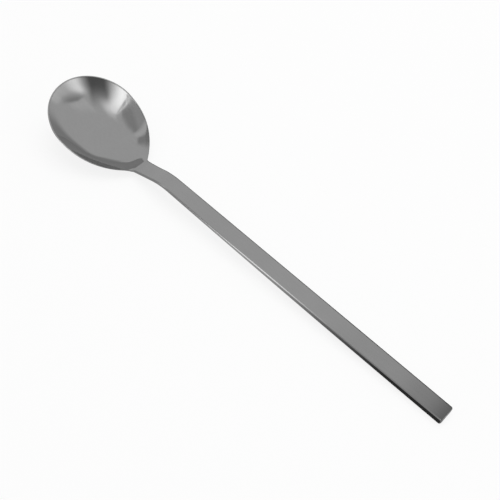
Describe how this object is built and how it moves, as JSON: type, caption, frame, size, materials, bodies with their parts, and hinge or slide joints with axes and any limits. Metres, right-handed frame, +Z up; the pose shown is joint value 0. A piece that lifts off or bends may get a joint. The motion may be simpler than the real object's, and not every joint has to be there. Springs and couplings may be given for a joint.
{
  "type": "serving spoon",
  "caption": "Long steel serving spoon: an egg-shaped pressed bowl, tilted up, welded to a bent flat-bar handle that thins towards the bowl.",
  "frame": {"origin": "on the table, below the middle of the spoon lying at rest on its bowl and the heel of its handle", "axes": "+X along the spoon towards the handle's free end, the bowl's tip towards -X, +Z up out of the hollow, +Y across"},
  "size_m": [0.2502, 0.0466, 0.024],
  "materials": {
    "bowl_steel": "satin",
    "handle_steel": "satin",
    "weld_steel": "satin"
  },
  "bodies": {
    "root": {"bowl": "bowl_steel", "handle": "handle_steel", "neck_weld": "weld_steel"}
  },
  "joints": []
}
